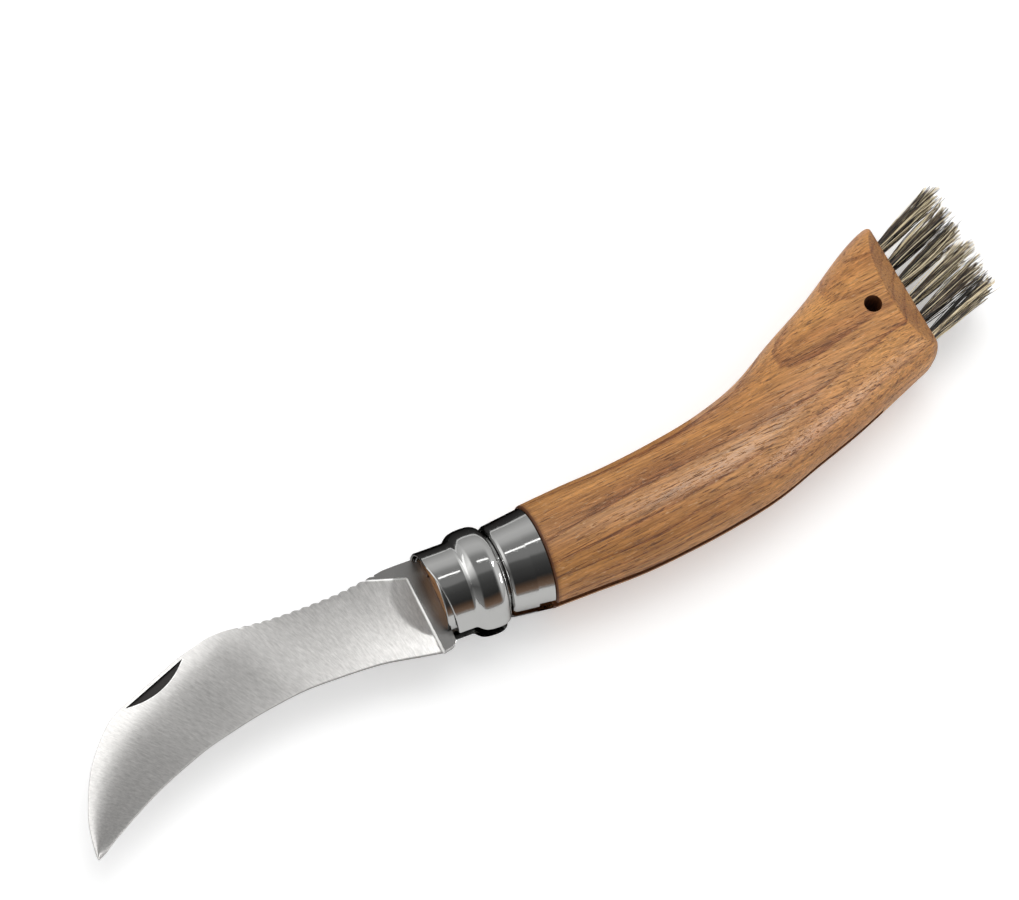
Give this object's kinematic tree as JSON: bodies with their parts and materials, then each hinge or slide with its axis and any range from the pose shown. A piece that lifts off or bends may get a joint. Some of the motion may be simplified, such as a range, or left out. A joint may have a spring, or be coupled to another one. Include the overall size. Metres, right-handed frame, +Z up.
{
  "type": "folding mushroom knife",
  "caption": "Folding mushroom knife: hooked blade with serrated spine, curved wooden handle, turning lock ring on a metal collar, and a bristle brush in the handle's end.",
  "frame": {"origin": "Middle of the whole knife's bounding box, at its floor, with the blade open", "axes": "+X runs along the collar's axis from the blade to the handle, +Y to the side of the blade's spine, and +Z is up, square to the blade's face. The knife lies on its side."},
  "size_m": [0.2036, 0.0688, 0.0203],
  "materials": {
    "oak": "Oiled oak, satin, straight grain with dark open pores",
    "bright_steel": "Polished stainless steel",
    "brushed_steel": "Fine satin, brushed across the blade",
    "hair": "Boar bristle, dark brown and pale blond hairs mixed",
    "wire": "Plain flat wire"
  },
  "bodies": {
    "grip": {"handle": "oak", "fixed_ferrule": "bright_steel", "pivot_pin": "bright_steel", "tuft_lower_1": "hair", "tuft_lower_2": "hair", "tuft_lower_3": "hair", "tuft_lower_4": "hair", "tuft_lower_5": "hair", "tuft_lower_6": "hair", "tuft_upper_1": "hair", "tuft_upper_2": "hair", "tuft_upper_3": "hair", "tuft_upper_4": "hair", "tuft_upper_5": "hair", "tuft_upper_6": "hair", "anchor_lower_1": "wire", "anchor_lower_2": "wire", "anchor_lower_3": "wire", "anchor_lower_4": "wire", "anchor_lower_5": "wire", "anchor_lower_6": "wire", "anchor_upper_1": "wire", "anchor_upper_2": "wire", "anchor_upper_3": "wire", "anchor_upper_4": "wire", "anchor_upper_5": "wire", "anchor_upper_6": "wire"},
    "blade": {"blade": "brushed_steel"},
    "ring": {"lock_ring": "bright_steel"}
  },
  "joints": [
    {"name": "blade_fold", "type": "hinge", "parent": "grip", "child": "blade", "pos_m": [-0.01775, -0.01107, 0.01017], "axis": [0, 0, 1], "range_deg": [0, 178]},
    {"name": "ring_turn", "type": "hinge", "parent": "grip", "child": "ring", "pos_m": [-0.02576, -0.00907, 0.01017], "axis": [1, 0, 0], "range_deg": [0, 50]}
  ]
}
